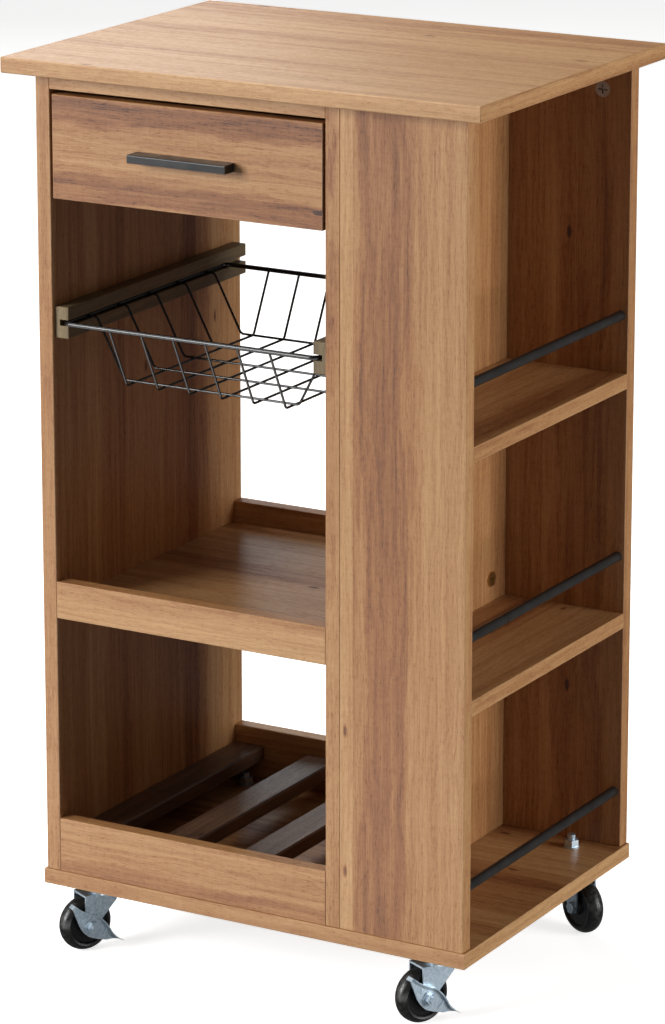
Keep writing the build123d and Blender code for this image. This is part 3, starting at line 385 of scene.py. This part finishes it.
def moulded_black_wheel(name, axle_point, axle_way):
    """Injection-moulded black polypropylene: a smooth tread with a parting line, turned rings on the
    side faces, and dust picked up by the part that rolls."""
    material, tree, shader = new_material(name)
    centre = Vector(axle_point) * MM_PER_M
    wheel_radius = centre.z
    way = Vector(axle_way).normalized()
    from_centre = add(tree, "ShaderNodeVectorMath", {0: place_in_mm(tree), 1: centre}, operation="SUBTRACT")
    sideways = add(tree, "ShaderNodeVectorMath", {0: from_centre.outputs[0], 1: way}, operation="DOT_PRODUCT")
    along_axle = add(tree, "ShaderNodeVectorMath", {0: way, "Scale": sideways.outputs["Value"]},
                     operation="SCALE")
    spoke = add(tree, "ShaderNodeVectorMath", {0: from_centre.outputs[0], 1: along_axle.outputs[0]},
                operation="SUBTRACT")
    radius = add(tree, "ShaderNodeVectorMath", {0: spoke.outputs[0]}, operation="LENGTH")
    off_middle = add(tree, "ShaderNodeMath", {0: sideways.outputs["Value"]}, operation="ABSOLUTE")
    seam = between(tree, off_middle.outputs[0], 0.5, 0.15)
    turned = add(tree, "ShaderNodeMath", {0: radius.outputs["Value"], 1: 2.4}, operation="MULTIPLY")
    rings = add(tree, "ShaderNodeMath", {0: turned.outputs[0]}, operation="SINE")
    dust = add(tree, "ShaderNodeTexNoise", {"Vector": from_centre.outputs[0], "Scale": 0.25, "Detail": 6.0,
                                            "Roughness": 0.7})
    tread = between(tree, radius.outputs["Value"], wheel_radius - 5, wheel_radius - 1)
    dusty = add(tree, "ShaderNodeMath", {0: tread, 1: between(tree, dust.outputs["Fac"], 0.45, 0.75)},
                operation="MULTIPLY")
    share = weighed(tree, (dusty.outputs[0], 0.4), (dust.outputs["Fac"], 0.12))
    colour = add(tree, "ShaderNodeMix", {0: share, 6: linear("#0d0e0f"), 7: linear("#5d5a56")},
                 data_type="RGBA")
    tree.links.new(colour.outputs[2], shader.inputs["Base Color"])
    tree.links.new(between(tree, share, 0.0, 0.4, 0.24, 0.52), shader.inputs["Roughness"])
    shader.inputs["IOR"].default_value = 1.49
    relief = weighed(tree, (seam, 0.6), (rings.outputs[0], 0.08), (dust.outputs["Fac"], 0.25))
    bump = add(tree, "ShaderNodeBump", {"Height": relief, "Strength": 0.4, "Distance": 0.0003})
    tree.links.new(bump.outputs[0], shader.inputs["Normal"])
    return material


# ---------------------------------------------------------------- which finish each piece has
# The letters are the way along the grain, across the face and through the board. Then come the middle of
# the heartwood across the face, half its width and the distance to the next one, in millimetres, and how
# strongly the figure shows.
OAK_BOARDS = {
    "top_board": ("XYZ", 40, 9, 120, 0.55), "base_board": ("XYZ", 30, 12, 130, 1.1),
    "left_side_panel": ("ZYX", -60, 22, 150, 0.9), "centre_partition": ("ZYX", -125, 34, 170, 1.3),
    "front_right_panel": ("ZXY", 142, 23, 170, 1.0), "rear_right_panel": ("ZXY", 175, 26, 150, 1.0),
    "drawer_front": ("XZY", 750, 11, 76, 1.5), "top_front_rail": ("XYZ", 0, 12, 130, 0.6),
    "top_rear_rail": ("XZY", 800, 14, 130, 0.8), "middle_shelf": ("XYZ", 20, 20, 140, 0.8),
    "middle_front_rail": ("XZY", 375, 8, 120, 0.9), "middle_rear_rail": ("XZY", 375, 8, 120, 0.7),
    "bottom_front_rail": ("XZY", 84, 8, 120, 1.1), "bottom_rear_rail": ("XZY", 84, 8, 120, 0.8),
    "side_shelf_upper": ("YXZ", 200, 14, 120, 1.2), "side_shelf_lower": ("YXZ", 130, 14, 120, 1.2),
}
for board, (way, heart_at, heart_half, heart_pitch, figure) in OAK_BOARDS.items():
    sheet = list(OAK_BOARDS).index(board)
    heart_mm = (heart_at + SHEET_SHIFT_MM[1] * sheet, heart_half, heart_pitch)
    dress(board, printed_oak_paper(f"printed_oak_{board}", way, sheet, heart_mm, figure))

SLATS = [name for name in nodes if name.startswith("bottle_slat")]
# the paler colour along the slats' corners is a painted highlight
for sheet, slat in enumerate(sorted(SLATS)):
    finish = printed_oak_paper(f"printed_walnut_{slat}", "YXZ", sheet, (0, 12, 90), tones=WALNUT,
                               edge_highlight_colour="#a88a6e")
    dress(slat, finish)

for sheet, side in enumerate(("left", "right")):
    dress(f"basket_runner_{side}", stained_pine(f"stained_pine_{side}", "YZX", sheet))
    dress(f"drawer_guide_{side}", planed_beech(f"beech_guide_{side}", "YZX", sheet))
    dress(f"drawer_side_{side}", planed_beech(f"beech_drawer_side_{side}", "YZX", sheet + 2))
dress("drawer_back", planed_beech("beech_drawer_back", "XZY", 5))
dress("drawer_bottom", hardboard("hardboard_drawer_bottom"))
for sheet, pegs in enumerate(("wood_dowels", "drawer_dowels", "slat_pegs")):
    dress(pegs, planed_beech(f"beech_{pegs}", "YXZ", sheet + 6))

BLACK_ENAMEL = satin_black_enamel("satin_black_enamel")
for piece in ("gallery_bar_lower", "gallery_bar_middle", "gallery_bar_upper"):
    dress(piece, BLACK_ENAMEL)
dress("drawer_handle", satin_black_enamel("black_handle_enamel", "#0b0b0c", "#151516"))

WIRE = dip_coated_wire("dip_coated_wire")
for piece in ("basket_rim", "basket_cross_wires", "basket_long_wires"):
    dress(piece, WIRE)

ZINC_PLATE = zinc_plated_steel("zinc_plated_steel")
for piece in ("cam_bolts", "base_screws", "wood_screws", "handle_screws", "caster_nuts", "caster_stems"):
    dress(piece, ZINC_PLATE)
dress("cam_locks", die_cast_zinc("die_cast_zinc"))
dress("shelf_bolts", yellow_passivated_zinc("yellow_passivated_zinc"))

WHEEL_JOINTS = {joint["child"]: joint for joint in frame["joints"] if joint["name"].endswith("_roll")}
for corner, words in (("fl", "front_left"), ("fr", "front_right"), ("rl", "rear_left"), ("rr", "rear_right")):
    roll = WHEEL_JOINTS[f"{words}_wheel"]
    dress(f"caster_{corner}_wheel", moulded_black_wheel(f"black_wheel_{words}", roll["pos_m"], roll["axis"]))
    dress(f"caster_{corner}_fork", ZINC_PLATE)
    dress(f"caster_{corner}_axle", ZINC_PLATE)
    if corner.startswith("f"):
        dress(f"caster_{corner}_brake_lever", ZINC_PLATE)


# ---------------------------------------------------------------- floor, light and camera
def studio_sheet(name, points, faces, material):
    """A sheet of the studio, which only the camera sees, so that it adds no light to the trolley."""
    mesh = bpy.data.meshes.new(name)
    mesh.from_pydata(points, [], faces)
    mesh.materials.append(material)
    sheet = bpy.data.objects.new(name, mesh)
    bpy.context.scene.collection.objects.link(sheet)
    sheet.visible_diffuse = False
    sheet.visible_glossy = False
    return sheet


def pale_studio():
    """A plain pale floor and far walls, faintly uneven in tone."""
    material, tree, shader = new_material("pale_floor_paint")
    cloud = add(tree, "ShaderNodeTexNoise", {"Vector": place_in_mm(tree), "Scale": 0.004, "Detail": 3.0})
    tint = add(tree, "ShaderNodeValToRGB", {0: cloud.outputs["Fac"]}, stops=((0.3, "#f1f0ee"), (0.7, "#f6f5f4")))
    tree.links.new(tint.outputs[0], shader.inputs["Base Color"])
    shader.inputs["Roughness"].default_value = 0.75
    shader.inputs["Emission Color"].default_value = linear("#ffffff")
    shader.inputs["Emission Strength"].default_value = 0.72
    half, height = 14.0, 9.0
    corners = ((-half, -half), (half, -half), (half, half), (-half, half))
    studio_sheet("studio_floor", [(x, y, 0.0) for x, y in corners], [(0, 1, 2, 3)], material)
    foot_and_head = [(x, y, z) for z in (0.0, height) for x, y in corners]
    sides = [(side, (side + 1) % 4, (side + 1) % 4 + 4, side + 4) for side in range(4)]
    walls = studio_sheet("studio_walls", foot_and_head, sides, material)
    walls.visible_shadow = False


def white_card():
    """A white card on the floor just in front, which only shines in the metal of the casters."""
    mesh = bpy.data.meshes.new("white_card")
    near, far, wide, lift = -0.24, -1.1, 1.6, 0.0005
    mesh.from_pydata([(-wide, far, lift), (wide, far, lift), (wide, near, lift), (-wide, near, lift)], [],
                     [(0, 1, 2, 3)])
    card = bpy.data.objects.new("white_card", mesh)
    bpy.context.scene.collection.objects.link(card)
    material, _, shader = new_material("white_card_paper")
    shader.inputs["Emission Color"].default_value = linear("#ffffff")
    shader.inputs["Emission Strength"].default_value = 1.7
    mesh.materials.append(material)
    card.visible_camera = card.visible_diffuse = card.visible_shadow = False


def soft_light(name, place, aim, width, height, watts):
    """A rectangular softbox, turned to face a point."""
    lamp = bpy.data.lights.new(name, "AREA")
    lamp.shape = "RECTANGLE"
    lamp.size, lamp.size_y = width, height
    lamp.energy = watts
    box = bpy.data.objects.new(name, lamp)
    box.location = place
    box.rotation_euler = (Vector(aim) - Vector(place)).to_track_quat("-Z", "Y").to_euler()
    bpy.context.scene.collection.objects.link(box)


def studio_world(strength):
    """Faint even white light from all round."""
    world = bpy.data.worlds.new("white_studio")
    world.use_nodes = True
    background = world.node_tree.nodes["Background"]
    background.inputs["Color"].default_value = linear("#ffffff")
    background.inputs["Strength"].default_value = strength
    bpy.context.scene.world = world


def front_camera():
    """A long lens about four metres away, to the right of the front and a little above."""
    camera = bpy.data.cameras.new("camera")
    camera.lens = 156.91
    camera.shift_y = -0.1748
    camera.dof.use_dof = False
    holder = bpy.data.objects.new("camera", camera)
    holder.location = (2.0237, -3.5417, 1.5878)
    turn, tilt = math.radians(29.79), math.radians(13.577)
    holder.rotation_euler = (math.pi / 2 - tilt, 0.0, turn)
    bpy.context.scene.collection.objects.link(holder)
    bpy.context.scene.camera = holder


middle = (cad_low + cad_high) / 2
pale_studio()
white_card()
studio_world(0.125)
soft_light("overhead_softbox", (-1.3, 0.1, 2.5), middle, 1.8, 1.8, 46)
soft_light("rear_softbox", (-3.0, 3.4, 2.2), middle, 1.8, 1.6, 26)
soft_light("front_softbox", (-2.4, -3.6, 1.7), middle, 1.8, 2.4, 200)
soft_light("side_softbox", (3.8, 0.5, 0.95), middle, 1.6, 2.0, 112)
bpy.context.scene.view_settings.view_transform = "Standard"
front_camera()
